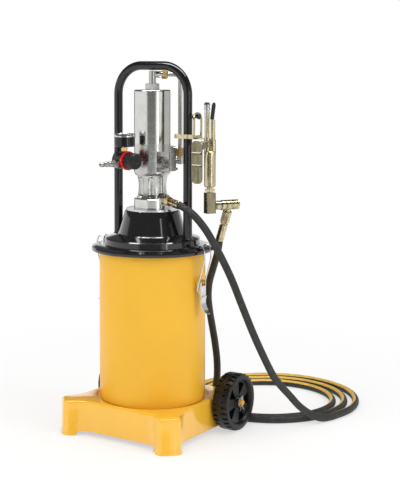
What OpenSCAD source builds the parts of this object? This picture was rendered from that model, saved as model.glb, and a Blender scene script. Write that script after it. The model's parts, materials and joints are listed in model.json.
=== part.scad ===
// Barrel grease pump: wheeled base, steel barrel, clamped lid with handle, air pump,
// regulator with gauge, long hose and a grease gun hung on the handle.
// X runs along the axle, the feet are at -Y, Z is up. The origin is on the floor
// under the middle of the machine.

/* [Barrel] */
// Outside diameter of the barrel
barrel_d = 233; // [215:1:250]
// Height of the barrel from its seat to its rim
barrel_h = 332; // [280:1:400]
// Wall of the barrel
barrel_wall = 1.5; // [1:0.1:3]

/* [Base] */
// Gap round the barrel in the base's recess
recess_gap = 8; // [4:0.5:12]
// Depth of the recess that the barrel stands in
recess_depth = 3.8; // [2:0.1:10]
// Width of the rim between the recess and the skirt
skirt_margin = 7.5; // [6:0.5:20]
// Wall of the moulded base
base_wall = 3.2; // [2.5:0.1:5]
// Height of the skirt's lower edge over the floor
skirt_lift = 10; // [6:0.5:16]
// Width of a corner leg
leg_w = 52; // [44:1:60]
// How far a corner leg stands out past the skirt, along the diagonal
leg_out = 14; // [8:0.5:24]
// Rounding of a leg's two outer corners
leg_round = 16; // [8:0.5:20]
// Thickness of the sole that closes a foot
sole_t = 4; // [2:0.5:8]

/* [Wheels] */
// Diameter of a wheel
wheel_d = 125; // [100:1:150]
// Width of a wheel
wheel_w = 38; // [28:1:44]
// Distance of the axle behind the barrel's axis
axle_y = 90; // [60:1:100]
// Diameter of the axle
axle_d = 11; // [8:0.5:14]
// Space between the skirt and a wheel
wheel_off = 4; // [2:0.5:20]
// Pockets in a wheel's face
pocket_n = 5; // [4:1:6]
// Tread notches on one shoulder of a wheel
notch_n = 30; // [20:1:36]

/* [Lid] */
// How far the lid's rim stands out past the barrel
lid_overhang = 17.5; // [14:0.5:24]
// Thickness of the pressed lid
lid_t = 2.5; // [1.5:0.1:3]
// Thickness of the gasket between barrel and lid
gasket_t = 4; // [2:0.5:8]
// Height of the lid's step over its flange
step_h = 16; // [10:0.5:22]
// Height of the lid's cone over the shelf that carries the handle
cone_h = 53; // [40:1:65]
// Radius of the flat on top of the cone
cone_top_r = 58; // [52:0.5:64]

/* [Handle] */
// Distance between the centres of the handle's legs
handle_span = 184; // [176:1:186]
// Outside diameter of the handle's tube
handle_d = 19.5; // [16:0.5:22]
// Wall of the handle's tube
handle_wall = 2; // [1.5:0.1:3]
// Height of the handle's top over the lid's flange
handle_h = 401; // [380:1:440]
// Bend radius at the tube's centre
handle_bend = 63; // [45:1:80]

/* [Pump] */
// Diameter of the air cylinder and of the pump's housing
pump_d = 81; // [76:1:88]
// Thickness of the flange disc under the pump
flange_t = 4; // [3:0.5:8]
// Height of the pump's base ring
ring_h = 22; // [18:1:30]
// Height of the fluted waist
waist_h = 50; // [40:1:60]
// Smallest diameter of the waist
waist_d = 61; // [56:1:66]
// Height of the valve housing
housing_h = 69; // [64:1:80]
// Gap between the elbow on the cylinder and the handle's crown
crown_gap = 1.5; // [1:0.1:10]
// Wall of the air cylinder
cylinder_wall = 4.5; // [3:0.5:6]
// Diameter of the air tube
tube_d = 10; // [8:0.5:12]
// Distance of the air tube from the pump's axis
tube_out = 62; // [58:0.5:70]
// Outside diameter of the pump tube that stands in the grease
dip_d = 34; // [30:1:38]
// Diameter of the piston rod
rod_d = 14; // [10:0.5:18]

/* [Regulator] */
// Distance of the regulator from the pump's axis
regulator_out = 79; // [76:0.5:90]
// Diameter of the regulator's body
regulator_d = 38; // [34:0.5:42]
// Diameter of the knob
knob_d = 35; // [28:0.5:36]
// Length of the knob
knob_l = 26; // [20:0.5:34]
// Diameter of the gauge's case
gauge_d = 46; // [40:0.5:52]
// Height of the gauge's case
gauge_h = 27; // [22:0.5:32]

/* [Gun] */
// Distance of the gun's axis from the barrel's axis
gun_x = 148; // [145:0.5:154]
// Diameter of the grip
grip_d = 25.5; // [23:0.5:27]
// Length of the grip
grip_l = 73; // [66:1:80]
// Height of the valve body on top of the grip
valve_h = 28; // [26:1:34]
// Distance of the lever plate in front of the gun's axis
lever_off = 50; // [42:1:56]
// Length of the lever plate
lever_l = 90; // [75:1:95]
// Width of the lever plate
lever_w = 26; // [22:1:30]
// Side of the square swivel block
block_w = 21; // [19:0.5:23]
// Length of the square swivel block
block_h = 44; // [40:1:50]
// Diameter of the round swivel arm
arm_d = 21.5; // [19:0.5:23]
// Length of the round swivel arm
arm_l = 57; // [52:1:64]

/* [Latch] */
// Height of the lever's pivot under the lid's flange
latch_drop = 74; // [70:1:80]
// Distance between the two pivots of a latch lever
latch_throw = 14; // [12:0.5:15]
// Length of the lever from its pivot to its tail
latch_l = 66; // [58:1:74]
// Diameter of the bail's wire
wire_d = 3; // [2.5:0.1:3.5]

/* [Follower] */
// Thickness of the follower plate
follower_t = 4; // [2:0.5:8]

/* [Hose] */
// Outside diameter of the hose
hose_d = 16; // [14:0.5:17]

/* [Hidden] */
$fn = 64;

flare = 2.5;
draft = 0.8;

// Fits
touch = 0.3;
run_fit = 0.06;
pin_fit = 0.05;
eps = 0.01;

// Heights and radii of the base and the barrel
axle_z = wheel_d / 2;
axle_gap = 0.5;
barrel_r = barrel_d / 2;
recess_r = barrel_r + recess_gap;
recess_floor = axle_z + axle_d / 2 + axle_gap + base_wall;
base_top = recess_floor + recess_depth;
skirt_half = recess_r + skirt_margin;
leg_tip = skirt_half * sqrt(2) + leg_out;
barrel_top = recess_floor + barrel_h;
bead_r = 2.2;

// Wheels along the axle
wheel_in = skirt_half + wheel_off;
wheel_out = wheel_in + wheel_w;
hub_r = 14;
hub_sink = 2;
hub_side_gap = 1.5;
washer_t = 2;
cotter_r = 1.5;
cotter_x = wheel_out - hub_sink + touch + washer_t + 2.2;
axle_half = cotter_x + 4;

// Heights of the lid
flange_z = barrel_top + gasket_t + lid_t;
lid_rim_r = barrel_r + lid_overhang;
flange_r = barrel_r + 5.5;
step_r = barrel_r - 11;
shelf_out_r = step_r - 2.5;
shelf_in_r = handle_span / 2 - handle_d / 2 - 6;
shelf_out_z = flange_z + step_h;
shelf_in_z = shelf_out_z + 7;
lid_top = shelf_in_z + cone_h;

// Heights of the pump
pump_r = pump_d / 2;
ring_z = lid_top + flange_t;
waist_z = ring_z + ring_h;
housing_z = waist_z + waist_h;
cylinder_z = housing_z + housing_h;
line_up = 33;
elbow_r = 8;
air_line_z = flange_z + handle_h - handle_d - crown_gap - elbow_r;
cylinder_top = air_line_z - line_up;
cylinder_h = cylinder_top - cylinder_z;
port_z = housing_z + 30;
bore_r = pump_r - cylinder_wall;
piston_t = 18;
dip_socket = 15;
dip_bottom = recess_floor + 10;
dip_bore = dip_d / 2 - 4;

// Directions round the pump: outlet and knob, air inlet, air valve
outlet_turn = -15;
inlet_turn = 255;
valve_turn = 45;
outlet_slope = 10;
outlet_z = ring_z + 20;
outlet_face = pump_r + 4;

// Regulator and gauge
regulator_half = 20;
regulator_z = port_z + 6;
knob_base = 14;
gauge_z = regulator_z + 30;
dial_drop = 6;

// Gun
grip_top = flange_z + 207;
grip_z = grip_top - grip_l;
valve_top = grip_top + valve_h;
peg_z = valve_top + 48;
peg_r = 4;
lever_pivot_y = -19;
lever_pivot_z = valve_top - 8;
block_top = grip_z - 12;
block_z = block_top - block_h;
arm_turn = 57;
arm_z = block_z + 16;
tail_out = 46;
tail_tilt = 30;
tail_nut = 46;
tail_length = 94;

// Latch, seen on the +X side
latch_x = barrel_r + 9.5;
latch_z = flange_z - latch_drop;
bail_x = latch_x - 1;
bail_z = latch_z - latch_throw;
bar_x = flange_r + 2;
bar_z = flange_z + 2.4 + wire_d / 2;
ear_y = 7;
cheek_y = 9.4;
wire_y = cheek_y + wire_d / 2 + 1.5;
bulge_x = lid_rim_r + 9;

// How far the barrel's axis lies behind the middle between the feet's front and the base's rear
front_reach = (leg_tip - 2 * leg_round + leg_w / 2) / sqrt(2) + leg_round + flare + draft;
rear_reach = max(skirt_half + draft, axle_y + wheel_d / 2);
axis_y = (front_reach - rear_reach) / 2;

// How far it lies beside the middle between the axle's left end and the end of the gun's arm
arm_reach = gun_x + (block_w / 2 + touch + arm_l - 2) * cos(arm_turn) + arm_d / 2 * sin(arm_turn);
axis_x = (axle_half - max(axle_half, arm_reach)) / 2;

// Hose: hand-chosen points, in millimetres
hose_r = hose_d / 2;
supply_route = [
    [109.5, -27.2, 494.6], [119, -27.2, 488.8], [127.7, -26.3, 482.1], [135.4, -24.3, 474.1],
    [142.3, -21.6, 465.2], [148.2, -18.3, 456.1], [153.1, -14.8, 446.7], [161.6, -6.7, 426.5],
    [168.1, 1.3, 407.6], [174.2, 8.8, 390], [188.8, 24.4, 345], [204.8, 42.8, 285], [219, 61, 230],
    [230, 88, 175], [239, 118, 125], [247, 140, 98], [256, 161, 75], [266, 187, 47], [276, 212, 27],
    [288, 232, 14], [296, 248, 9], [302, 265, 8], [305.7, 277, 8]
];
tail_route = [
    [120, 78, 391], [98, 93, 348], [82, 105, 316], [72, 117, 282], [68, 130, 246], [67, 143, 208],
    [67, 155, 168], [66, 165, 128], [62, 173, 92], [54, 180, 62], [43, 187, 42], [31, 197, 27],
    [18, 209, 16], [6, 222, 9], [-2.3, 233.5, 8]
];
loop_at = [110, 338];
loop_r = 205;
loop_pitch = 24;
loop_drift = 7;
loop_start = 17;
loop_steps = 20;
loop_turns = 2.65;

function turn(a) = [cos(a), sin(a), 0];
function outlet_dir() = turn(outlet_turn) * cos(outlet_slope) - [0, 0, sin(outlet_slope)];
outlet_root = [0, 0, outlet_z + outlet_face * tan(outlet_slope)];
function outlet_point(d) = outlet_root + outlet_dir() * d / cos(outlet_slope);
function tail_start() = [gun_x, 0, arm_z] + tail_out * turn(arm_turn);
function tail_dir() = turn(arm_turn + 90) * sin(tail_tilt) - [0, 0, cos(tail_tilt)];
function tail_point(d) = tail_start() + tail_dir() * d;

function unit(v) = v / norm(v);
function heading(p, i) = unit(p[min(i + 1, len(p) - 1)] - p[max(i - 1, 0)]);
function tube_ring(c, along, side, r, n) =
    let (u = unit(cross(along, side)), v = cross(along, u))
    [for (k = [0:n - 1]) c + r * (cos(k * 360 / n) * u + sin(k * 360 / n) * v)];

// A tube along a curve, with flat ends
module swept_tube(p, r, side, n = 10) {
    m = len(p);
    points = [for (i = [0:m - 1]) each tube_ring(p[i], heading(p, i), side, r, n)];
    sides = [for (i = [0:m - 2], k = [0:n - 1])
        [i * n + k, (i + 1) * n + k, (i + 1) * n + (k + 1) % n, i * n + (k + 1) % n]];
    first = [for (k = [0:n - 1]) k];
    last = [for (k = [0:n - 1]) m * n - 1 - k];
    polyhedron(points, concat([first, last], sides), convexity = 10);
}

// From the barrel's axis to the frame's origin
module set_back() { translate([axis_x, axis_y, 0]) children(); }

// A straight round rod between two points
module rod(a, b, r) {
    d = b - a;
    translate(a) rotate([0, acos(d.z / norm(d)), atan2(d.y, d.x)]) cylinder(h = norm(d), r = r);
}

// A bent wire through points, with round elbows
module wire(p, r) {
    for (i = [0:len(p) - 2]) rod(p[i], p[i + 1], r);
    for (i = [1:len(p) - 2]) translate(p[i]) sphere(r * 1.03);
}

module ring(r_out, r_in, h) {
    difference() {
        cylinder(h = h, r = r_out);
        translate([0, 0, -eps]) cylinder(h = h + 2 * eps, r = r_in);
    }
}

module hex(across, h) { cylinder(h = h, d = across / cos(30), $fn = 6); }

module rounded_plate(w, h, r, t) {
    linear_extrude(t) {
        square([w - 2 * r, h], center = true);
        square([w, h - 2 * r], center = true);
        for (x = [-1, 1], y = [-1, 1]) translate([x * (w / 2 - r), y * (h / 2 - r)]) circle(r);
    }
}

// Local Z points outwards from the pump's axis, at a turn and a slope
module pointing(a, slope = 0) { rotate([0, 0, a]) rotate([0, 90 + slope, 0]) children(); }

module along_outlet(d) { translate(outlet_point(d)) pointing(outlet_turn, outlet_slope) children(); }

module along_tail(d) { translate(tail_point(d)) pointing(arm_turn + 90, 90 - tail_tilt) children(); }

// Base: outline of a square skirt with two front legs and two round rear corners,
// each point with its normal
function arc(c, r, a0, a1, n, s) = [
    for (k = [0:n]) let (d = turn2(a0 + (a1 - a0) * k / n)) [c + r * d, s * d]
];
function turn2(a) = [cos(a), sin(a)];
function spin2(p, a) = [p.x * cos(a) - p.y * sin(a), p.x * sin(a) + p.y * cos(a)];
leg_half = leg_w / 2;
side_hit = skirt_half * sqrt(2) - leg_half;
corner_d = leg_tip - leg_round;
fillet_r = (corner_d - side_hit) / tan(22.5);
rear_round = 30;
rear_c = skirt_half - rear_round;
function leg_line() = concat(
    arc([corner_d, -leg_half - fillet_r], fillet_r, 135, 90, 5, -1),
    arc([corner_d, leg_round - leg_half], leg_round, -90, 0, 7, 1),
    arc([corner_d, leg_half - leg_round], leg_round, 0, 90, 7, 1),
    arc([corner_d, leg_half + fillet_r], fillet_r, 270, 225, 5, -1)
);
base_line = concat(
    arc([rear_c, rear_c], rear_round, 0, 90, 8, 1),
    arc([-rear_c, rear_c], rear_round, 90, 180, 8, 1),
    [for (a = [225, 315], p = leg_line()) [spin2(p[0], a), spin2(p[1], a)]]
);

// The outline carried up through rows of [height, inset], each end closed by a fan about its middle
module base_loft(rows) {
    n = len(base_line);
    m = len(rows);
    walls = [for (row = rows, p = base_line) let (q = p[0] - p[1] * row[1]) [q.x, q.y, row[0]]];
    middles = [[0, 0, rows[0][0]], [0, 0, rows[m - 1][0]]];
    sides = [for (i = [0:m - 2], k = [0:n - 1])
        [i * n + k, (i + 1) * n + k, (i + 1) * n + (k + 1) % n, i * n + (k + 1) % n]];
    ends = [for (k = [0:n - 1]) each [
        [m * n, k, (k + 1) % n],
        [m * n + 1, (m - 1) * n + (k + 1) % n, (m - 1) * n + k]
    ]];
    polyhedron(concat(walls, middles), concat(sides, ends), convexity = 10);
}

edge_round = 6;
outer_rows = concat(
    [[0, -flare - draft], [3, -flare - draft], [8, -draft]],
    [for (a = [0:22.5:90]) [base_top - edge_round + edge_round * sin(a), edge_round * (1 - cos(a))]]
);
inner_rows = [
    [-1, base_wall - draft], [base_top - base_wall - 3, base_wall], [base_top - base_wall, base_wall + 3]
];
leg_side = skirt_half - 44;
foot_l = 27;

// A strip with two rounded upper corners, from the floor up
module arch(x0, x1, lift) {
    edge = 1;
    r = lift - edge;
    translate([x0 + r, -1]) square([x1 - x0 - 2 * r, lift + 1]);
    translate([x0, -1]) square([x1 - x0, edge + 1]);
    for (x = [x0 + r, x1 - r]) translate([x, edge]) circle(r);
}

module base() {
    reach = leg_tip + 10;
    boss_r = axle_d / 2 + 4;
    sole_l = 46;
    color("orange") set_back() difference() {
        union() {
            difference() {
                base_loft(outer_rows);
                base_loft(inner_rows);
            }
            translate([0, 0, recess_floor - base_wall])
                cylinder(h = base_top - 1 - recess_floor + base_wall, r = recess_r + base_wall, $fn = 160);
            for (a = [225, 315]) rotate(a) translate([leg_tip - sole_l / 2 - 1, 0, 0])
                rounded_plate(sole_l, leg_w - 2, leg_round - 1, sole_t);
            for (s = [-1, 1]) translate([s * (skirt_half - 8), axle_y, axle_z]) rotate([0, 90, 0])
                cylinder(h = 14, r = boss_r, center = true);
        }
        translate([0, 0, recess_floor]) cylinder(h = base_top, r = recess_r, $fn = 160);
        translate([0, -leg_side, 0]) rotate([90, 0, 0]) linear_extrude(reach)
            arch(-leg_side, leg_side, skirt_lift);
        translate([-reach, 0, 0]) rotate([90, 0, 90]) linear_extrude(2 * reach)
            arch(-leg_side, reach, skirt_lift);
        for (a = [225, 315]) rotate(a) translate([0, leg_w, 0]) rotate([90, 0, 0])
            linear_extrude(2 * leg_w) arch(leg_tip - foot_l - leg_w, leg_tip - foot_l, skirt_lift - 0.5);
        translate([-reach, axle_y, axle_z]) rotate([0, 90, 0])
            cylinder(h = 2 * reach, r = axle_d / 2 + pin_fit);
    }
}

module axle() {
    chamfer = 1.5;
    r = axle_d / 2;
    color("goldenrod") set_back() translate([0, axle_y, axle_z]) difference() {
        rotate([0, 90, 0]) rotate_extrude() polygon([
            [0, -axle_half], [r - chamfer, -axle_half], [r, chamfer - axle_half],
            [r, axle_half - chamfer], [r - chamfer, axle_half], [0, axle_half]
        ]);
        for (s = [-1, 1]) translate([s * cotter_x, 0, 0])
            cylinder(h = 2 * axle_d, r = cotter_r + pin_fit, center = true);
    }
}

// A wheel about local Z, its inner face at zero
module wheel() {
    r = wheel_d / 2;
    rim_r = r - 14;
    bore = axle_d / 2 + run_fit;
    web_in = wheel_w / 2 - 8;
    web_out = wheel_w - 7;
    hub_in = wheel_off - hub_side_gap;
    pocket_t = 10;
    notch_w = 5;
    notch_l = 13;
    notch_t = 3;
    difference() {
        rotate_extrude() polygon([
            [bore, -hub_in], [hub_r, -hub_in], [hub_r + 2, web_in], [rim_r - 3, web_in], [rim_r, 2],
            [rim_r + 3, 0], [r - 5, 0], [r - 1.5, 1.5], [r, 6], [r, wheel_w - 6], [r - 1.5, wheel_w - 1.5],
            [r - 5, wheel_w], [rim_r + 3, wheel_w], [rim_r, wheel_w - 2], [rim_r - 2, web_out],
            [hub_r, web_out], [hub_r - 2, wheel_w - hub_sink], [bore, wheel_w - hub_sink]
        ]);
        for (k = [0:pocket_n - 1]) rotate(k * 360 / pocket_n + 18) translate([0, 0, web_out - pocket_t])
            linear_extrude(pocket_t + 5) polygon([
                [hub_r + 3, -2], [rim_r - 7, -13], [rim_r - 4.5, 0], [rim_r - 7, 13], [hub_r + 3, 2]
            ]);
        for (k = [0:notch_n - 1]) {
            rotate(k * 360 / notch_n) translate([r - notch_t, -notch_w / 2, -1])
                cube([notch_t * 2, notch_w, notch_l + 1]);
            rotate((k + 0.5) * 360 / notch_n) translate([r - notch_t, -notch_w / 2, wheel_w - notch_l])
                cube([notch_t * 2, notch_w, notch_l + 1]);
        }
    }
}

module wheel_right() {
    color("dimgray") set_back() translate([wheel_in, axle_y, axle_z]) rotate([0, 90, 0]) wheel();
}

module wheel_left() {
    color("dimgray") set_back() translate([-wheel_in, axle_y, axle_z]) rotate([0, -90, 0]) wheel();
}

// Washers and split pins: a loop above the axle, a shank through it and two splayed ends below
module wheel_retainers() {
    drop = axle_d / 2 + 3;
    splay = 9;
    leg_r = cotter_r * 0.55;
    color("silver") set_back() for (s = [-1, 1]) {
        translate([s * (wheel_out - hub_sink + touch), axle_y, axle_z]) rotate([0, s * 90, 0])
            ring(axle_d / 2 + 5.5, axle_d / 2 + pin_fit, washer_t);
        translate([s * cotter_x, axle_y, axle_z]) {
            translate([0, 0, -drop]) cylinder(h = 2 * drop, r = cotter_r);
            translate([0, 0, drop + 2.5]) rotate([0, 90, 0]) rotate_extrude() translate([3.2, 0])
                circle(leg_r);
            for (y = [-1, 1]) rod([0, y * 0.4, 1.5 - drop], [0, y * splay, -drop - splay], leg_r);
        }
    }
}

module barrel() {
    corner = 5;
    color("orange") set_back() translate([0, 0, recess_floor]) rotate_extrude() difference() {
        union() {
            polygon([
                [0, 0], [barrel_r - corner, 0], [barrel_r - 1.5, 1.5], [barrel_r, corner],
                [barrel_r, barrel_h - bead_r], [0, barrel_h - bead_r]
            ]);
            translate([barrel_r - barrel_wall, barrel_h - 2 * bead_r]) square([barrel_wall, 2 * bead_r]);
            translate([barrel_r + bead_r - barrel_wall, barrel_h - bead_r]) circle(bead_r);
        }
        translate([-1, barrel_wall]) square([barrel_r - barrel_wall + 1, barrel_h]);
    }
}

// Latch pieces on the +X side
module latch_plate() {
    half_h = 11;
    pin_x = latch_x - barrel_r;
    difference() {
        union() {
            translate([barrel_r - 3, -12, latch_z - half_h]) cube([5.5, 24, 2 * half_h]);
            for (s = [-1, 1]) translate([barrel_r, s * (ear_y - 1.5) - 1.5, latch_z]) rotate([-90, 0, 0]) {
                translate([0, -5, 0]) cube([pin_x, 10, 3]);
                translate([pin_x, 0, 0]) cylinder(h = 3, r = 5);
            }
        }
        cylinder(h = 3 * latch_z, r = barrel_r, $fn = 360);
        translate([latch_x, 0, latch_z]) rotate([90, 0, 0])
            cylinder(h = 40, r = 2 + pin_fit, center = true);
    }
}

module latch_pin() {
    head_y = cheek_y + touch;
    head_t = wire_y - wire_d / 2 - touch - head_y;
    translate([latch_x, 0, latch_z]) rotate([90, 0, 0]) {
        cylinder(h = 2 * head_y, r = 2, center = true);
        for (s = [-1, 1]) translate([0, 0, s * (head_y + head_t / 2)])
            cylinder(h = head_t, r = 3.2, center = true);
    }
}

// Lever: two cheeks, an outer web and a curved tail
module latch_lever() {
    cheek_t = 2;
    web_x = latch_x + 7;
    knee_z = latch_z - latch_throw - 14;
    tail_z = latch_z - latch_l;
    bow_r = 30;
    sheet = 2;
    difference() {
        union() {
            for (s = [-1, 1]) translate([0, s * (cheek_y - cheek_t / 2) + cheek_t / 2, 0])
                rotate([90, 0, 0]) linear_extrude(cheek_t) {
                    polygon([
                        [latch_x - 5, latch_z + 3], [web_x, latch_z + 3], [web_x, knee_z],
                        [bail_x - 3, bail_z - 5], [bail_x - 5, bail_z]
                    ]);
                    translate([latch_x, latch_z]) circle(6);
                    translate([bail_x, bail_z]) circle(5);
                }
            translate([web_x - sheet, -cheek_y, knee_z - 2])
                cube([sheet, 2 * cheek_y, latch_z - knee_z - 4]);
            intersection() {
                translate([web_x - 1 + bow_r, 0, knee_z - 12]) rotate([90, 0, 0])
                    translate([0, 0, -cheek_y]) ring(bow_r + 1, bow_r - 1, 2 * cheek_y);
                translate([web_x - 6, -cheek_y, tail_z]) cube([20, 2 * cheek_y, knee_z - tail_z]);
                union() {
                    translate([web_x - 10, -cheek_y, tail_z + 8]) cube([40, 2 * cheek_y, latch_l]);
                    translate([web_x - 10, 0, tail_z + 8]) rotate([0, 90, 0])
                        cylinder(h = 40, r = cheek_y - 1.4);
                }
            }
        }
        translate([latch_x, 0, latch_z]) rotate([90, 0, 0])
            cylinder(h = 40, r = 2 + pin_fit, center = true);
        translate([bail_x, 0, bail_z]) rotate([90, 0, 0])
            cylinder(h = 40, r = wire_d / 2 + pin_fit, center = true);
    }
}

// Bail: a wire loop from the lever up over the rim to the catch
module latch_bail() {
    over_z = bar_z + 3;
    pivot_y = ear_y + touch;
    side = [
        [bail_x, bail_z], [bail_x + 4, bail_z + 16], [bulge_x, flange_z - 22], [bulge_x, flange_z - 3],
        [bulge_x - 5, over_z], [bulge_x - 11, over_z + 1], [bar_x, bar_z]
    ];
    for (s = [-1, 1]) {
        wire([for (p = side) [p.x, s * wire_y, p.y]], wire_d / 2);
        for (p = [side[0], side[6]]) translate([p.x, s * wire_y, p.y]) sphere(wire_d * 0.515);
        rod([bail_x, s * pivot_y, bail_z], [bail_x, s * wire_y, bail_z], wire_d / 2);
    }
    rod([bar_x, -wire_y, bar_z], [bar_x, wire_y, bar_z], wire_d / 2);
}

module other_side() { mirror([1, 0, 0]) children(); }

module latch_plate_right() { color("orange") set_back() latch_plate(); }
module latch_pin_right() { color("silver") set_back() latch_pin(); }
module latch_lever_right() { color("silver") set_back() latch_lever(); }
module latch_bail_right() { color("silver") set_back() latch_bail(); }
module latch_plate_left() { color("orange") set_back() other_side() latch_plate(); }
module latch_pin_left() { color("silver") set_back() other_side() latch_pin(); }
module latch_lever_left() { color("silver") set_back() other_side() latch_lever(); }
module latch_bail_left() { color("silver") set_back() other_side() latch_bail(); }

// Catches on the lid's flange, with a lip outside the bail's bar
module latch_catches() {
    foot_x = step_r + 3;
    lip_x = bar_x + wire_d / 2 + 0.8;
    lip_t = 2.2;
    half_w = wire_y - wire_d / 2 - 2.5;
    color("dimgray") set_back() for (s = [0, 1]) mirror([s, 0, 0]) {
        translate([foot_x, -half_w, flange_z]) cube([lip_x + lip_t - foot_x, 2 * half_w, 2]);
        translate([lip_x, -half_w, flange_z]) cube([lip_t, 2 * half_w, 7]);
    }
}

module lid_gasket() {
    color("black") set_back() translate([0, 0, barrel_top]) ring(barrel_r + 3.5, barrel_r - 5, gasket_t);
}

// The lid's section, from the rim to the pump's hole
hole_r = dip_d / 2 + 1;
lid_line = [
    [lid_rim_r, flange_z - 10], [lid_rim_r, flange_z - 5.5], [lid_rim_r - 1.5, flange_z - 3],
    [flange_r + 2, flange_z - 0.6], [flange_r, flange_z], [step_r + 1.6, flange_z],
    [step_r, flange_z + 2.4], [step_r - 0.6, shelf_out_z - 2], [shelf_out_r, shelf_out_z],
    [shelf_in_r, shelf_in_z], [shelf_in_r - 2, shelf_in_z + 2], [cone_top_r + 2.6, lid_top - 3],
    [cone_top_r, lid_top], [hole_r, lid_top]
];
function left_of(d) = [-d.y, d.x];
function inner(p, i, t) = let (
    a = unit(p[i] - p[max(i - 1, 0)] + (i == 0 ? p[1] - p[0] : [0, 0])),
    b = unit(p[min(i + 1, len(p) - 1)] - p[i] + (i == len(p) - 1 ? p[i] - p[i - 1] : [0, 0])),
    m = unit(left_of(a) + left_of(b))
) p[i] + m * t / (m * left_of(a));

module lid() {
    under = [for (i = [len(lid_line) - 1:-1:0]) inner(lid_line, i, lid_t)];
    color("black") set_back() {
        rotate_extrude() polygon(concat(lid_line, under));
        translate([0, 0, flange_z - 10]) rotate_extrude() translate([lid_rim_r - lid_t / 2, 0])
            circle(lid_t / 2);
    }
}

// Handle: a bent tube that stands on the lid's sloping shelf
module handle() {
    x = handle_span / 2;
    top_z = flange_z + handle_h - handle_d / 2;
    bend_z = top_z - handle_bend;
    bend_x = x - handle_bend;
    leg_z = shelf_out_z - 2;
    r_in = handle_d / 2 - handle_wall;
    color("black") set_back() difference() {
        union() {
            for (s = [0, 1]) mirror([s, 0, 0]) {
                translate([x, 0, leg_z]) ring(handle_d / 2, r_in, bend_z - leg_z);
                translate([bend_x, 0, bend_z]) rotate([90, 0, 0]) rotate_extrude(angle = 90)
                    translate([handle_bend, 0]) difference() {
                        circle(handle_d / 2);
                        circle(r_in);
                    }
            }
            translate([-bend_x, 0, top_z]) rotate([0, 90, 0]) ring(handle_d / 2, r_in, 2 * bend_x);
        }
        rotate_extrude() polygon([
            [0, flange_z], [step_r, flange_z], [shelf_out_r, shelf_out_z], [shelf_in_r, shelf_in_z],
            [0, shelf_in_z]
        ]);
    }
}

// Peg on the handle's leg that the gun hangs on
peg_end = handle_span / 2 + handle_d / 2 + 20;
module gun_peg() {
    x = handle_span / 2;
    color("black") set_back() difference() {
        translate([x, 0, peg_z]) rotate([0, 90, 0]) {
            cylinder(h = peg_end - x, r = peg_r);
            translate([0, 0, peg_end - x - 3]) cylinder(h = 3, r = peg_r + 2);
        }
        translate([x, 0, 0]) cylinder(h = 2 * peg_z, r = handle_d / 2);
    }
}

module pump_flange() {
    color("lightgray") set_back() translate([0, 0, lid_top]) ring(cone_top_r - 1, dip_d / 2 + 1, flange_t);
}

chest_w = 42;
chest_h = 54;
chest_z = housing_z + 36;
chest_out = pump_r + 3;
inlet_out = pump_r + 6;
plug_z = housing_z + 28;

// Pump body: base ring, fluted waist and valve housing in one casting
waist_r = waist_d / 2;
waist_in = 4;
waist_steps = 12;
hollow_r = (waist_in * waist_in + waist_h * waist_h / 4) / (2 * waist_in);
function waist_point(t) = [
    waist_r + hollow_r - sqrt(hollow_r * hollow_r - pow((t - 0.5) * waist_h, 2)),
    waist_z + t * waist_h
];
module pump_body() {
    flute_n = 8;
    flute_r = 10;
    flute_z = waist_z + flute_r + 0.5;
    flute_l = waist_h - 2 * flute_r - 1;
    pocket_r = 19;
    pocket_t = 6;
    pocket_h = 25;
    boss_r = 14;
    color("lightsteelblue") set_back() difference() {
        union() {
            rotate_extrude() polygon(concat(
                [[0, ring_z], [pump_r, ring_z], [pump_r, waist_z - 1.5], [pump_r - 1.5, waist_z]],
                [for (k = [0:waist_steps]) waist_point(k / waist_steps)],
                [[pump_r - 3, housing_z + 1], [pump_r, housing_z + 6]],
                [[pump_r, cylinder_z], [0, cylinder_z]]
            ));
            rotate(outlet_turn) translate([waist_r - 4, 0, ring_z]) cylinder(h = plug_z - ring_z, r = 8);
            along_outlet(0) translate([0, 0, 20 / cos(outlet_slope)])
                cylinder(h = (outlet_face - 20) / cos(outlet_slope), r = 13);
            translate([0, 0, plug_z]) pointing(outlet_turn) cylinder(h = pump_r + 2, r = boss_r);
            translate([0, 0, port_z]) pointing(inlet_turn) cylinder(h = inlet_out, r = 12);
            rotate(valve_turn) translate([0, -chest_w / 2, chest_z - chest_h / 2])
                cube([chest_out, chest_w, chest_h]);
        }
        for (k = [0:flute_n - 1]) if (k > 0) rotate(outlet_turn + k * 360 / flute_n)
            translate([waist_r + flute_r - 2.5, 0, flute_z]) {
                cylinder(h = flute_l, r = flute_r);
                for (z = [0, flute_l]) translate([0, 0, z]) sphere(flute_r);
            }
        translate([0, 0, plug_z]) pointing(outlet_turn) translate([0, 0, pump_r - pocket_t]) difference() {
            translate([-pocket_h, -pocket_r, 0]) cube([pocket_h + pocket_r, 2 * pocket_r, pump_r]);
            cylinder(h = pump_d, r = boss_r);
        }
        translate([0, 0, ring_z - 1])
            cylinder(h = housing_h + waist_h + ring_h + 2, r = rod_d / 2 + run_fit);
        translate([0, 0, ring_z - 1]) cylinder(h = dip_socket + 1, r = dip_d / 2 + pin_fit);
    }
}

// Air cylinder: a polished cup over the housing, with a fine line near its foot
module air_cylinder() {
    edge = 4;
    roof = 10;
    color("gainsboro") set_back() translate([0, 0, cylinder_z]) rotate_extrude() difference() {
        union() {
            polygon([
                [0, 0], [pump_r, 0], [pump_r, cylinder_h - edge],
                [pump_r - edge, cylinder_h], [0, cylinder_h]
            ]);
            translate([pump_r - edge, cylinder_h - edge]) circle(edge);
        }
        translate([-1, -1]) square([bore_r + 1, cylinder_h - roof + 1]);
        translate([pump_r - 0.4, 19]) square([1, 0.8]);
    }
}

plug_h = 14;
module top_plug() {
    color("silver") set_back() translate([0, 0, cylinder_top]) {
        hex(30, plug_h - 1);
        cylinder(h = plug_h, r = 11);
    }
}

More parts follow.
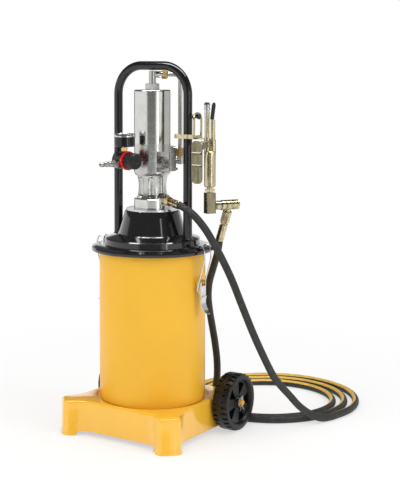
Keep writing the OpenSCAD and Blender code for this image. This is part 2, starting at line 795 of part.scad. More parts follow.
module top_elbow() {
    arm = 21;
    color("silver") set_back() {
        translate([0, 0, cylinder_top + plug_h]) cylinder(h = line_up - plug_h + elbow_r, r = elbow_r);
        translate([0, 0, air_line_z]) pointing(valve_turn) cylinder(h = arm, r = 7);
    }
}

nut_in = 21;
nut_l = 12;
tube_bend = 14;
lower_nut_z = port_z + 11;
lower_nut_l = 17;

module tube_nuts() {
    color("darkgoldenrod") set_back() {
        translate([0, 0, air_line_z]) pointing(valve_turn) translate([0, 0, nut_in]) difference() {
            hex(17, nut_l);
            translate([0, 0, -1]) cylinder(h = nut_l + 2, r = tube_d / 2 + pin_fit);
        }
        rotate(valve_turn) translate([tube_out, 0, lower_nut_z]) difference() {
            hex(17, lower_nut_l);
            translate([0, 0, -1]) cylinder(h = lower_nut_l + 2, r = tube_d / 2 + pin_fit);
        }
    }
}

module air_tube() {
    bore = tube_d / 2 - 1;
    bend_z = air_line_z - tube_bend;
    bend_x = tube_out - tube_bend;
    color("lightgray") set_back() rotate(valve_turn) {
        translate([nut_in, 0, air_line_z]) rotate([0, 90, 0]) ring(tube_d / 2, bore, bend_x - nut_in);
        translate([bend_x, 0, bend_z]) rotate([90, 0, 0]) rotate_extrude(angle = 90)
            translate([tube_bend, 0]) difference() {
                circle(tube_d / 2);
                circle(bore);
            }
        translate([tube_out, 0, lower_nut_z]) ring(tube_d / 2, bore, bend_z - lower_nut_z);
    }
}

cover_t = 5;
cover_out = chest_out + cover_t;

module lower_elbow() {
    r = 7;
    color("silver") set_back() rotate(valve_turn) {
        translate([tube_out, 0, port_z - r]) cylinder(h = lower_nut_z - port_z + r, r = r);
        translate([cover_out, 0, port_z]) rotate([0, 90, 0]) cylinder(h = tube_out - cover_out, r = r - 1);
    }
}

screw_x = chest_w / 2 - 6;
screw_z = chest_h / 2 - 6;

module valve_cover() {
    color("silver") set_back() rotate(valve_turn) translate([chest_out, 0, chest_z]) rotate([90, 0, 90])
        rounded_plate(chest_w, chest_h, 6, cover_t);
}

module cover_screws() {
    color("silver") set_back() rotate(valve_turn) for (y = [-1, 1], z = [-1, 1])
        translate([cover_out, y * screw_x, chest_z + z * screw_z]) rotate([0, 90, 0]) difference() {
            cylinder(h = 4, r = 4);
            translate([0, 0, 2]) cylinder(h = 3, r = 2, $fn = 6);
        }
}

plug_face = pump_r + 2;

module valve_plug() {
    color("silver") set_back() translate([0, 0, plug_z]) pointing(outlet_turn)
        translate([0, 0, plug_face]) {
            cylinder(h = 2, r = 12.5);
            translate([0, 0, 1]) hex(17, 8);
            cylinder(h = 11, r = 5);
        }
}

// Regulator: air comes in from outside and goes straight on to the pump, the knob stands across
regulator_xy = regulator_out * turn(inlet_turn);

module at_regulator(z = regulator_z) { translate([regulator_xy.x, regulator_xy.y, z]) children(); }

module inlet_nipple() {
    gap = regulator_out - regulator_half - inlet_out;
    color("silver") set_back() translate([0, 0, port_z]) pointing(inlet_turn) translate([0, 0, inlet_out]) {
        cylinder(h = gap, r = 7);
        translate([0, 0, gap / 4]) hex(17, gap / 2);
    }
}

block_half = 14;
stem_z = regulator_d / 2 + 0.5;

module regulator_body() {
    r = regulator_d / 2;
    ring_at = knob_base - 5;
    color("black") set_back() at_regulator() {
        pointing(outlet_turn) {
            translate([0, 0, -20]) cylinder(h = 20 + ring_at, r = r);
            translate([0, 0, -25]) cylinder(h = 6, r1 = r - 6, r2 = r - 1);
        }
        rotate(inlet_turn) {
            translate([-regulator_half, -block_half, -block_half])
                cube([2 * regulator_half, block_half + ring_at, 2 * block_half]);
            translate([regulator_half - 8, -4, block_half - 3]) cube([14, 8, 6]);
            translate([-9, -9, 0]) cube([18, 18, stem_z]);
        }
    }
}

module regulator_ring() {
    color("red") set_back() at_regulator() pointing(outlet_turn) translate([0, 0, knob_base - 5])
        cylinder(h = 5, r = regulator_d / 2 + 1.5);
}

// Knob: a ribbed cap that turns in front of the ring
module regulator_knob() {
    r = knob_d / 2;
    rib_n = 24;
    color("dimgray") set_back() at_regulator() pointing(outlet_turn) translate([0, 0, knob_base + touch])
        difference() {
            rotate_extrude() polygon([
                [0, 0], [r, 0], [r, knob_l - 3], [r - 3, knob_l],
                [5, knob_l], [4, knob_l - 1], [0, knob_l - 1]
            ]);
            for (k = [0:rib_n - 1]) rotate(k * 360 / rib_n) translate([r + 0.6, 0, 4])
                cylinder(h = knob_l, r = 1.2, $fn = 16);
        }
}

// Quick-connect plug for the air line, with its locking groove
plug_tip = 47;
module air_plug() {
    color("silver") set_back() at_regulator(port_z) pointing(inlet_turn) translate([0, 0, regulator_half]) {
        hex(15, 9);
        rotate_extrude() polygon([
            [0, 8], [6.5, 8], [6.5, 20], [5, 22], [5, 26], [6, 27.5], [6, 31], [4.2, 33], [4.2, 37],
            [5, 38.5], [5, plug_tip - 2], [4, plug_tip], [2.5, plug_tip], [2.5, plug_tip - 14],
            [0, plug_tip - 14]
        ]);
    }
}

module gauge_stem() {
    h = gauge_z - regulator_z - stem_z;
    color("darkgoldenrod") set_back() at_regulator(regulator_z + stem_z) {
        cylinder(h = h, r = 5);
        translate([0, 0, 1]) hex(13, h - 4);
    }
}

case_r = gauge_d / 2;
case_wall = 2.2;

module gauge_case() {
    color("black") set_back() at_regulator(gauge_z) difference() {
        rotate_extrude() polygon([
            [0, 0], [case_r - 2, 0], [case_r - 0.6, 2], [case_r - 0.6, gauge_h - 8],
            [case_r, gauge_h - 7.5], [case_r, gauge_h - 1], [case_r - 1, gauge_h], [0, gauge_h]
        ]);
        translate([0, 0, gauge_h - dial_drop - 2]) cylinder(h = gauge_h, r = case_r - case_wall);
    }
}

module gauge_lens() {
    color("white") set_back() at_regulator(gauge_z + gauge_h - 2.6)
        cylinder(h = 1.8, r = case_r - case_wall);
}

module gauge_dial() {
    color("white") set_back() at_regulator(gauge_z + gauge_h - dial_drop - 2) {
        cylinder(h = 1.6, r = case_r - case_wall - pin_fit);
        cylinder(h = 3, r = 1);
    }
}

// Needle: a tapered pointer on the dial's centre pin
module gauge_needle() {
    l = case_r - 7;
    color("black") set_back() at_regulator(gauge_z + gauge_h - dial_drop + 0.1) rotate(inlet_turn - 45)
        difference() {
            linear_extrude(0.7) {
                circle(2.4);
                polygon([[0, -1.1], [l, -0.3], [l, 0.3], [0, 1.1]]);
                polygon([[0, -1.1], [0, 1.1], [-6, 1.6], [-6, -1.6]]);
            }
            translate([0, 0, -1]) cylinder(h = 3, r = 1 + pin_fit);
        }
}

// Grease outlet: a hexagon union, a copper ring and the crimped ferrule of the hose
hex_l = 14;
seal_t = 2;
ferrule_l = 28;
ferrule_r = 9;
supply_end = outlet_face + hex_l + seal_t + ferrule_l;

module outlet_hex() {
    color("darkseagreen") set_back() along_outlet(outlet_face) {
        hex(17, 5);
        translate([0, 0, 4]) hex(19, hex_l / cos(outlet_slope) - 4);
    }
}

module outlet_seal() {
    color("peru") set_back() along_outlet(outlet_face + hex_l)
        cylinder(h = seal_t / cos(outlet_slope), r = 9.5);
}

module ferrule(l) {
    rotate_extrude() polygon([
        [0, 0], [ferrule_r - 2, 0], [ferrule_r - 2, 3], [ferrule_r - 0.6, 4], [ferrule_r - 0.6, 9],
        [ferrule_r, 10], [ferrule_r, l - 1], [ferrule_r - 0.6, l], [0, l]
    ]);
}

module supply_ferrule() {
    color("khaki") set_back() along_outlet(outlet_face + hex_l + seal_t)
        ferrule(ferrule_l / cos(outlet_slope));
}

// Hose: supply run from the pump, loops on the floor, tail up to the gun
supply_lead = [outlet_point(supply_end + touch), outlet_point(supply_end + 10)];
function loop_point(n) = let (a = 360 * n - loop_start, r = loop_r - loop_pitch * n)
    [loop_at.x + r * cos(a), loop_at.y - loop_drift * n + r * sin(a), hose_r];
loop_route = [for (k = [0:loop_steps * loop_turns]) loop_point(k / loop_steps)];

module hose_supply() {
    color("black") set_back() swept_tube(concat(supply_lead, supply_route), hose_r, [0.76, -0.65, 0]);
}

module hose_loops() { color("black") set_back() swept_tube(loop_route, hose_r, [0, 0, 1]); }

module hose_tail() {
    tail_lead = [tail_point(tail_length + 1.5)];
    color("black") set_back() swept_tube(concat(tail_lead, tail_route), hose_r, [1, 0.4, 0]);
}

// Gun: grip, valve body, nozzle with coupler, bar with rubber sleeve, hanging loop and lever
module gun_grip() {
    r = grip_d / 2;
    neck_r = 6;
    color("khaki") set_back() translate([gun_x, 0, 0]) difference() {
        union() {
            translate([0, 0, grip_z]) rotate_extrude() polygon([
                [0, 0], [r - 2, 0], [r, 2], [r, grip_l - 0.8], [r - 0.6, grip_l], [0, grip_l]
            ]);
            translate([0, 0, block_top]) cylinder(h = grip_z - block_top, r = neck_r);
            translate([0, 0, block_top + 3]) hex(22, 5);
        }
        translate([0, 0, grip_z + 8]) pointing(-60) translate([0, 0, r - 3]) cylinder(h = 10, r = 3);
    }
}

// Valve body: two columns side by side on a short foot, and a lug for the lever
lug_w = 8;
column_r = 6.5;
column_off = 6.3;
column_turn = 34.5;
nozzle_at = -column_off * turn(column_turn);
bar_at = column_off * turn(column_turn);

module gun_valve() {
    r = grip_d / 2 - 0.4;
    foot_h = 3;
    color("khaki") set_back() translate([gun_x, 0, grip_top]) difference() {
        union() {
            rotate_extrude() polygon([
                [0, 0], [r - 0.6, 0], [r, 0.8], [r, foot_h - 0.8], [r - 0.8, foot_h], [0, foot_h]
            ]);
            for (at = [nozzle_at, bar_at]) translate(at) cylinder(h = valve_h, r = column_r);
            translate([-lug_w / 2, lever_pivot_y, valve_h - 14]) cube([lug_w, -lever_pivot_y, 12]);
            translate([-lug_w / 2, lever_pivot_y, valve_h - 8]) rotate([0, 90, 0])
                cylinder(h = lug_w, r = 6);
        }
        translate([0, lever_pivot_y, valve_h - 8]) rotate([0, 90, 0])
            cylinder(h = 60, r = 2 + pin_fit, center = true);
    }
}

// Nozzle: an upright pipe on the valve, with the grease coupler at its end
coupler_z = valve_top + 61;
coupler_h = 18;
coupler_bore = 3.3;
coupler_deep = 10;
pipe_r = 5.2;
module gun_nozzle() {
    color("silver") set_back() translate([gun_x, 0, 0] + nozzle_at) {
        translate([0, 0, valve_top]) cylinder(h = coupler_z - 4 - valve_top, r = pipe_r);
        translate([0, 0, coupler_z - 5]) cylinder(h = 2, r = 6.2);
        translate([0, 0, coupler_z - 4]) rotate_extrude() polygon([
            [0, 0], [5.2, 0], [5.2, 6], [6.8, 6.6], [6.8, 10], [5.2, 11], [5.2, 13], [6.6, 14],
            [6.6, coupler_h], [5, coupler_h + 4], [coupler_bore, coupler_h + 4],
            [coupler_bore, coupler_h + 4 - coupler_deep], [0, coupler_h + 4 - coupler_deep]
        ]);
    }
}

// Bar that stands on the valve, and the slanted rubber sleeve on its upper end
bar_h = 42;
bar_r = 5;
stub_r = 2.2;
stub_l = 14;
stub_in = 2.2;
sleeve_r = 4.2;
sleeve_l = 37;
sleeve_tilt = 7;
module on_bar() {
    translate([gun_x, 0, valve_top + bar_h] + (1 - stub_in / column_off) * bar_at)
        rotate(column_turn) rotate([0, sleeve_tilt, 0]) children();
}

module gun_bar() {
    color("khaki") set_back() {
        translate([gun_x, 0, valve_top] + bar_at) cylinder(h = bar_h, r = bar_r);
        on_bar() translate([0, 0, -2]) cylinder(h = stub_l + 2, r = stub_r);
    }
}

module gun_sleeve() {
    foot = sleeve_r * tan(sleeve_tilt) + touch;
    tip = sleeve_l - 2.4;
    color("black") set_back() on_bar() rotate_extrude() polygon([
        [stub_r + pin_fit, foot], [sleeve_r, foot], [sleeve_r, tip - 3], [sleeve_r - 0.9, tip],
        [sleeve_r - 2.4, sleeve_l], [0, sleeve_l], [0, stub_l + touch], [stub_r + pin_fit, stub_l + touch]
    ]);
}

// Hanging loop over the peg, and the flat hook that reaches in front of the handle's leg
module gun_hanger() {
    sheet = 3;
    strip = 5;
    loop_w = 24;
    loop_x = peg_end - 3 - 0.5 - sheet;
    top_z = peg_z + peg_r + touch;
    mid_z = top_z - loop_w / 2;
    hook_h = 9;
    hook_y = -loop_w / 2 - strip - sheet;
    hook_x = handle_span / 2 - handle_d / 2 - 12;
    color("khaki") set_back() {
        translate([loop_x, 0, 0]) rotate([90, 0, 90]) linear_extrude(sheet) {
            translate([0, mid_z]) difference() {
                circle(loop_w / 2 + strip);
                circle(loop_w / 2);
                translate([-loop_w, -2 * loop_w]) square([2 * loop_w, 2 * loop_w]);
            }
            for (s = [-1, 1]) translate([s * (loop_w + strip) / 2 - strip / 2, valve_top])
                square([strip, mid_z - valve_top]);
            translate([-loop_w / 2 - 1, valve_top]) square([loop_w + 2, 8]);
        }
        difference() {
            union() {
                translate([loop_x, nozzle_at.y - 5, valve_top])
                    cube([gun_x + nozzle_at.x - loop_x, 10, sheet]);
                translate([gun_x, 0, valve_top] + nozzle_at) cylinder(h = sheet, r = 7);
            }
            translate([gun_x, 0, valve_top - 1] + nozzle_at) cylinder(h = sheet + 2, r = pipe_r + touch);
        }
        translate([hook_x, hook_y, valve_top + 1]) cube([loop_x + sheet - hook_x, sheet, hook_h]);
        translate([hook_x, hook_y, valve_top + 1]) rotate(25) cube([sheet, 9, hook_h]);
    }
}

// Lever: a ridged plate in front of the grip, on two cheeks that pivot on the valve's lug
module gun_lever() {
    sheet = 2.4;
    cheek = 2.5;
    cheek_in = lug_w / 2 + touch;
    plate_top = valve_top;
    plate_mid = plate_top - lever_l / 2;
    ridges = [0.29 * lever_l, 0.58 * lever_l];
    mark_z = plate_top - 0.81 * lever_l;
    color("khaki") set_back() translate([gun_x, 0, 0]) difference() {
        union() {
            translate([0, -lever_off, plate_mid]) rotate([90, 0, 0])
                rounded_plate(lever_w, lever_l, lever_w / 2 - 3, sheet);
            for (z = ridges) translate([0, -lever_off - sheet, plate_top - z]) rotate([0, 90, 0])
                cylinder(h = lever_w - 4, r = 2.6, center = true);
            for (s = [-1, 1]) translate([s * (cheek_in + cheek / 2) - cheek / 2, 0, 0]) rotate([90, 0, 90])
                linear_extrude(cheek) {
                    polygon([
                        [-lever_off, plate_top - 22], [-lever_off, plate_top - 4],
                        [lever_pivot_y, lever_pivot_z + 6], [lever_pivot_y, lever_pivot_z - 6]
                    ]);
                    translate([lever_pivot_y, lever_pivot_z]) circle(6);
                }
        }
        translate([0, lever_pivot_y, lever_pivot_z]) rotate([0, 90, 0])
            cylinder(h = 2 * lever_w, r = 2 + pin_fit, center = true);
        translate([0, -lever_off - sheet - 1, mark_z]) rotate([-90, 0, 0])
            linear_extrude(1.8) polygon([[-5, -5], [5, -5], [0, 5]]);
    }
}

module gun_lever_pin() {
    head = lug_w / 2 + touch + 2.5 + touch;
    color("silver") set_back() translate([gun_x, lever_pivot_y, lever_pivot_z]) rotate([0, 90, 0]) {
        cylinder(h = 2 * head, r = 2, center = true);
        for (s = [-1, 1]) translate([0, 0, s * (head + 0.6)]) cylinder(h = 1.2, r = 3.2, center = true);
    }
}

// Swivel: a square block under the grip, and a round arm that turns on its own axis
spigot_r = 5;
spigot_l = 14;
module swivel_block() {
    color("darkkhaki") set_back() translate([gun_x, 0, block_z]) {
        rotate(arm_turn) rounded_plate(block_w, block_w, 3, block_h);
        translate([0, 0, arm_z - block_z]) pointing(arm_turn)
            cylinder(h = block_w / 2 + spigot_l, r = spigot_r);
    }
}

module swivel_arm() {
    from = block_w / 2 + touch;
    r = arm_d / 2;
    color("darkkhaki") set_back() {
        translate([gun_x, 0, arm_z]) pointing(arm_turn) translate([0, 0, from]) difference() {
            rotate_extrude() polygon([
                [0, 0], [r - 2, 0], [r - 1, 1], [r - 1, 13], [r - 1.8, 13.6], [r - 1.8, 14.4], [r, 15],
                [r, arm_l - 2], [r - 2, arm_l], [0, arm_l]
            ]);
            translate([0, 0, -1]) cylinder(h = spigot_l + 1.5, r = spigot_r + run_fit);
        }
        along_tail(r - 3) cylinder(h = 10, r = 6);
        along_tail(r + 6) hex(17, tail_nut - r - 6);
    }
}

module tail_ferrule() {
    color("khaki") set_back() along_tail(tail_nut) ferrule(tail_length - tail_nut);
}

// Inside: tube in the grease, air piston with its rod and plunger, follower plate
module dip_tube() {
    slot_h = 16;
    color("silver") set_back() difference() {
        translate([0, 0, dip_bottom]) ring(dip_d / 2, dip_bore, ring_z + dip_socket - dip_bottom);
        for (a = [0, 90]) rotate(a) translate([-dip_d, -4, dip_bottom - 1])
            cube([2 * dip_d, 8, slot_h + 1]);
    }
}

plunger_t = 30;
module pump_piston() {
    rest_z = cylinder_z + 2;
    plunger_z = dip_bottom + 24;
    color("silver") set_back() {
        translate([0, 0, rest_z]) cylinder(h = piston_t, r = bore_r - run_fit);
        translate([0, 0, plunger_z + 1]) cylinder(h = rest_z - plunger_z, r = rod_d / 2);
        translate([0, 0, plunger_z]) cylinder(h = plunger_t, r = dip_bore - touch);
    }
}

// Follower: a dished plate with a rubber edge that slides on the dip tube and in the barrel
module follower_plate() {
    r = barrel_r - barrel_wall - touch;
    hole = dip_d / 2 + touch;
    lip = 12;
    seat_z = dip_bottom + 20;
    color("dimgray") set_back() translate([0, 0, seat_z]) rotate_extrude() polygon([
        [hole, 0], [r - 6, 0], [r, 2], [r, lip], [r - 3, lip], [r - 8, follower_t], [hole + 8, follower_t],
        [hole + 4, lip], [hole, lip]
    ]);
}

base();
axle();
wheel_right();
wheel_left();
wheel_retainers();
barrel();
latch_plate_right();
latch_pin_right();
latch_lever_right();
latch_bail_right();
latch_plate_left();
latch_pin_left();
latch_lever_left();
latch_bail_left();
latch_catches();
lid_gasket();
lid();
handle();
gun_peg();
pump_flange();
pump_body();
air_cylinder();
top_plug();
top_elbow();
tube_nuts();
air_tube();
lower_elbow();
valve_cover();
cover_screws();
valve_plug();
inlet_nipple();
regulator_body();
regulator_ring();
regulator_knob();
air_plug();
gauge_stem();
gauge_case();
gauge_lens();
gauge_dial();
gauge_needle();
outlet_hex();
outlet_seal();
supply_ferrule();
hose_supply();
hose_loops();
hose_tail();
gun_grip();
gun_valve();
gun_nozzle();
gun_bar();
gun_sleeve();
gun_hanger();
gun_lever();
gun_lever_pin();
swivel_block();
swivel_arm();
tail_ferrule();
dip_tube();
pump_piston();
follower_plate();
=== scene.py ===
"""Finishes, hoses, small details and the studio of a barrel grease pump."""
import json
import math

import bpy
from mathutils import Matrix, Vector

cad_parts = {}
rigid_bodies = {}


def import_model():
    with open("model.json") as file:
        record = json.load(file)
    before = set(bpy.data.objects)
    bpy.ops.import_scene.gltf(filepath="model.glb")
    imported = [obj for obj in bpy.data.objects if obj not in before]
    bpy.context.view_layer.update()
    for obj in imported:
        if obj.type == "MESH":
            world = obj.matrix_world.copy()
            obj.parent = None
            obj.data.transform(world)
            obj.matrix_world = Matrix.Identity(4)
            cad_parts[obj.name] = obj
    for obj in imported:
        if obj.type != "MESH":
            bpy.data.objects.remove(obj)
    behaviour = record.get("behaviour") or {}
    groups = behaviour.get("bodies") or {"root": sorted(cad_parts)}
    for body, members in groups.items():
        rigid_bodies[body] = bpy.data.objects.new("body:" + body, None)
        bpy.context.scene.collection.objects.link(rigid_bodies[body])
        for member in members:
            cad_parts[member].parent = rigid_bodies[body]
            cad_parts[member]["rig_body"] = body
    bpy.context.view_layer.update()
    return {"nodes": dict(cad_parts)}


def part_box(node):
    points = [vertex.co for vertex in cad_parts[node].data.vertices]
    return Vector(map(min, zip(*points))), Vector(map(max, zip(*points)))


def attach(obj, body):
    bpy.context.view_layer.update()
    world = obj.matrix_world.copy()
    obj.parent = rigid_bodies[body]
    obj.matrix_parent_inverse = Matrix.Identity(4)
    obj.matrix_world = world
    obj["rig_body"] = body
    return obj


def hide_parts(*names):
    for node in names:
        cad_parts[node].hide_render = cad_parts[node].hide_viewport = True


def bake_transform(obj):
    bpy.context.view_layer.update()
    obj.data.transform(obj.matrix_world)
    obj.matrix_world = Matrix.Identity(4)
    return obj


bl_info = {
    "name": "Barrel grease pump",
    "version": (1, 0, 0),
    "blender": (4, 5, 0),
    "location": "3D View > Sidebar > Grease pump",
    "description": "Dresses the solids of an air-operated barrel grease pump",
    "category": "Object",
}

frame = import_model()

# The barrel's upright axis, from which the hose's route is measured.
AXIS = sum(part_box("barrel"), Vector()) / 2
AXIS.z = 0

# The supply hose from the pump's outlet down to the floor.
SUPPLY_ROUTE = [
    (.08548, -.02291, .50244), (.09514, -.02550, .50068),
    (.1095, -.0272, .4946), (.119, -.0272, .4888),
    (.1277, -.0263, .4821), (.1354, -.0243, .4741), (.1423, -.0216, .4652), (.1482, -.0183, .4561),
    (.1531, -.0148, .4467), (.1616, -.0067, .4265), (.1681, .0013, .4076), (.1742, .0088, .390),
    (.1888, .0244, .345), (.2048, .0428, .285), (.219, .061, .230), (.230, .088, .175),
    (.239, .118, .125), (.247, .140, .098), (.256, .161, .075), (.266, .187, .047),
    (.276, .212, .027), (.288, .232, .014), (.296, .248, .009), (.302, .265, .008),
]

# The hose's tail from the floor up to the gun's ferrule.
TAIL_ROUTE = [
    (-.0023, .2335, .008), (.006, .222, .009), (.018, .209, .016), (.031, .197, .027),
    (.043, .187, .042), (.054, .180, .062), (.062, .173, .092), (.066, .165, .128),
    (.067, .155, .168), (.067, .143, .208), (.068, .130, .246), (.072, .117, .282),
    (.082, .105, .316), (.098, .093, .348), (.120, .078, .391), (.13301, .06459, .42149),
]

# The loops on the floor: their middle from the axis, the points in a turn, the angle in degrees at
# which they begin, and how much nearer to the barrel each turn lies.
LOOP_MIDDLE = Vector((.110, .338, .008))
LOOP_POINTS = 20
LOOP_START = -17
LOOP_DRIFT = .007

# The tube's rings stand this far apart, with so many faces round each.
HOSE_STEP = .006
HOSE_FACES = 20

# The polished ring at the foot of the pump's body, and the room that a split pin takes on the axle.
FOOT_RING_HEIGHT = .0223
SPLIT_PIN_WIDTH = .0045

# The gauge's scale runs clockwise from this angle over this sweep, in degrees, in fifty steps.
SCALE_START, SCALE_SWEEP, SCALE_STEPS = 225, 270, 50
# The rim's profile: how far outside the case and above its top, from the inner lip down the side.
RIM_PROFILE = [(-.0024, -.0004), (-.0014, .0005), (-.0002, .0005), (.0005, -.0004), (.0005, -.0058)]
RIM_WALL = .0004

# Solids and new pieces shade smoothly below these angles, and a solid's loose triangles are joined
# where their corners lie this close.
SOLID_ANGLE = math.radians(28)
PIECE_ANGLE = math.radians(40)
MERGE_GAP = .000002


class GreasePumpSizes(bpy.types.PropertyGroup):
    hose_diameter: bpy.props.FloatProperty(
        name="Hose diameter", description="Outside diameter of the grease hose",
        default=.016, min=.008, max=.03, unit="LENGTH")
    stripe_share: bpy.props.FloatProperty(
        name="Stripe share", description="Share of the hose's round that the stripe takes",
        default=.18, min=.05, max=.5, subtype="FACTOR")
    loop_radius: bpy.props.FloatProperty(
        name="Loop radius", description="Radius at which the hose's loops begin on the floor",
        default=.205, min=.1, max=.4, unit="LENGTH")
    loop_shrink: bpy.props.FloatProperty(
        name="Loop shrink", description="How much closer each turn of the hose lies",
        default=.024, min=.017, max=.05, unit="LENGTH")
    loop_turns: bpy.props.FloatProperty(
        name="Loop turns", description="Turns of hose that lie on the floor",
        default=2.65, min=1, max=5)


class GreasePumpColours(bpy.types.PropertyGroup):
    yellow: bpy.props.FloatVectorProperty(
        name="Yellow", description="Paint of the barrel and plastic of the base",
        default=(.86, .475, .036), size=3, min=0, max=1, subtype="COLOR")
    black: bpy.props.FloatVectorProperty(
        name="Black", description="Paint of the lid and handle",
        default=(.012, .012, .013), size=3, min=0, max=1, subtype="COLOR")
    red: bpy.props.FloatVectorProperty(
        name="Red", description="Ring of the pressure regulator",
        default=(.72, .016, .014), size=3, min=0, max=1, subtype="COLOR")
    stripe: bpy.props.FloatVectorProperty(
        name="Stripe", description="Stripe along the hose",
        default=(.80, .49, .06), size=3, min=0, max=1, subtype="COLOR")
    hose: bpy.props.FloatVectorProperty(
        name="Hose", description="Rubber of the hose",
        default=(.022, .022, .021), size=3, min=0, max=1, subtype="COLOR")


class Finish:
    """A material being mixed: its shader and the nodes that feed it."""

    def __init__(self, name, colour, **sockets):
        self.material = bpy.data.materials.new(name)
        self.material.use_nodes = True
        self.tree = self.material.node_tree
        self.shader = self.tree.nodes["Principled BSDF"]
        self.shader.inputs["Base Color"].default_value = (*colour[:3], 1)
        for socket, value in sockets.items():
            self.shader.inputs[socket.replace("_", " ")].default_value = value

    def node(self, kind, **settings):
        node = self.tree.nodes.new(kind)
        for key, value in settings.items():
            setattr(node, key, value)
        return node

    def join(self, output, target):
        self.tree.links.new(output, target)

    def feed(self, socket, output):
        self.join(output, self.shader.inputs[socket])

    def place(self, centre=(0, 0, 0), stretch=(1, 1, 1), turn=(0, 0, 0), uv=False):
        """Object or UV coordinates about a centre, turned and stretched."""
        where = self.node("ShaderNodeTexCoord")
        shift = self.node("ShaderNodeVectorMath", operation="SUBTRACT")
        shift.inputs[1].default_value = centre
        self.join(where.outputs["UV" if uv else "Object"], shift.inputs[0])
        mapping = self.node("ShaderNodeMapping")
        mapping.inputs["Rotation"].default_value = turn
        mapping.inputs["Scale"].default_value = stretch
        self.join(shift.outputs[0], mapping.inputs["Vector"])
        return mapping.outputs["Vector"]

    def noise(self, scale, detail=3, roughness=.5, place=None, lift=0):
        node = self.node("ShaderNodeTexNoise")
        node.inputs["Scale"].default_value = scale
        node.inputs["Detail"].default_value = detail
        node.inputs["Roughness"].default_value = roughness
        node.inputs["Distortion"].default_value = lift
        self.join(place or self.place(), node.inputs["Vector"])
        return node.outputs["Fac"]

    def cells(self, scale, place=None):
        node = self.node("ShaderNodeTexVoronoi")
        node.inputs["Scale"].default_value = scale
        self.join(place or self.place(), node.inputs["Vector"])
        return node.outputs["Distance"]

    def math(self, operation, first, second=0.0, third=0.0, clamp=False):
        node = self.node("ShaderNodeMath", operation=operation, use_clamp=clamp)
        for socket, value in zip(node.inputs, (first, second, third)):
            if isinstance(value, (int, float)):
                socket.default_value = value
            else:
                self.join(value, socket)
        return node.outputs[0]

    def ramp(self, factor, *stops):
        """A colour ramp; a stop is its position and a grey or a colour."""
        node = self.node("ShaderNodeValToRGB")
        band = node.color_ramp.elements
        while len(band) < len(stops):
            band.new(.5)
        for element, (position, value) in zip(band, stops):
            element.position = position
            value = (value,) * 3 if isinstance(value, (int, float)) else tuple(value)[:3]
            element.color = (*value, 1)
        self.join(factor, node.inputs["Fac"])
        return node.outputs["Color"]

    def span(self, factor, low, high, start=.3, end=.7):
        """A number that runs from low to high as the factor runs from start to end."""
        node = self.node("ShaderNodeMapRange")
        for socket, value in zip(("From Min", "From Max", "To Min", "To Max"),
                                 (start, end, low, high)):
            node.inputs[socket].default_value = value
        self.join(factor, node.inputs["Value"])
        return node.outputs["Result"]

    def mix(self, factor, first, second):
        node = self.node("ShaderNodeMix", data_type="RGBA")
        self.join(factor, node.inputs["Factor"])
        for socket, value in (("A", first), ("B", second)):
            target = [i for i in node.inputs if i.name == socket and i.type == "RGBA"][0]
            if isinstance(value, (tuple, list)):
                target.default_value = (*tuple(value)[:3], 1)
            else:
                self.join(value, target)
        return [o for o in node.outputs if o.type == "RGBA"][0]

    def cloud(self, colour, factor, dark, light):
        """An uneven colour, from a darker to a lighter shade of one."""
        shades = (.3, scaled(colour, dark)), (.7, scaled(colour, light))
        self.feed("Base Color", self.ramp(factor, *shades))

    def bump(self, height, distance, strength=1.0):
        """Raises the surface by a height, in metres; a second call adds to the first."""
        node = self.node("ShaderNodeBump")
        node.inputs["Strength"].default_value = strength
        node.inputs["Distance"].default_value = distance
        self.join(height, node.inputs["Height"])
        if self.shader.inputs["Normal"].is_linked:
            before = self.shader.inputs["Normal"].links[0].from_socket
            self.join(before, node.inputs["Normal"])
        self.feed("Normal", node.outputs["Normal"])


def scaled(colour, factor):
    """A colour made lighter or darker."""
    return tuple(min(1.0, c * factor) for c in tuple(colour)[:3])


def gloss_paint(name, colour, roughness, peel, coat=.6):
    """Sprayed enamel: a soft orange peel, and a hint of unevenness in colour and gloss."""
    paint = Finish(name, colour, Roughness=roughness, Coat_Weight=coat, Coat_Roughness=.06)
    paint.shader.inputs["Specular IOR Level"].default_value = .3 + .3 * coat
    paint.cloud(colour, paint.noise(9, 4), .97, 1.03)
    paint.feed("Roughness", paint.span(paint.noise(60, 5), roughness * .8, roughness * 1.25))
    paint.bump(paint.noise(330, 2), peel)
    return paint.material


def moulded_plastic(name, colour, roughness, grain):
    """Moulded plastic: a fine grain over slow ripples of the mould."""
    plastic = Finish(name, colour, Roughness=roughness)
    plastic.shader.inputs["Specular IOR Level"].default_value = .4
    plastic.cloud(colour, plastic.noise(14, 4), .95, 1.04)
    plastic.feed("Roughness", plastic.span(plastic.noise(85, 5), roughness * .85, roughness * 1.2))
    plastic.bump(plastic.noise(26, 2), grain * 6, .5)
    plastic.bump(plastic.cells(1500), grain)
    return plastic.material


def turned_metal(name, colour, roughness, centre, axis, lines=900):
    """Metal off the lathe: fine rings along an axis, and uneven brightness."""
    stretch = [.02, .02, .02]
    stretch["XYZ".index(axis)] = 1.0
    metal = Finish(name, colour, Metallic=1.0, Roughness=roughness)
    rings = metal.noise(lines, 3, .6, metal.place(centre, stretch))
    metal.cloud(colour, metal.noise(30, 3), .9, 1.05)
    metal.feed("Roughness", metal.span(rings, roughness * .7, roughness * 1.4))
    metal.bump(rings, .00003)
    return metal.material


def plated_metal(name, colour, roughness):
    """Bright plated steel: small stains in the gloss and faint dents."""
    metal = Finish(name, colour, Metallic=1.0, Roughness=roughness)
    metal.cloud(colour, metal.noise(120, 4), .88, 1.05)
    metal.feed("Roughness", metal.span(metal.noise(240, 4), roughness * .8, roughness * 1.3))
    metal.bump(metal.noise(400, 3), .00003)
    return metal.material


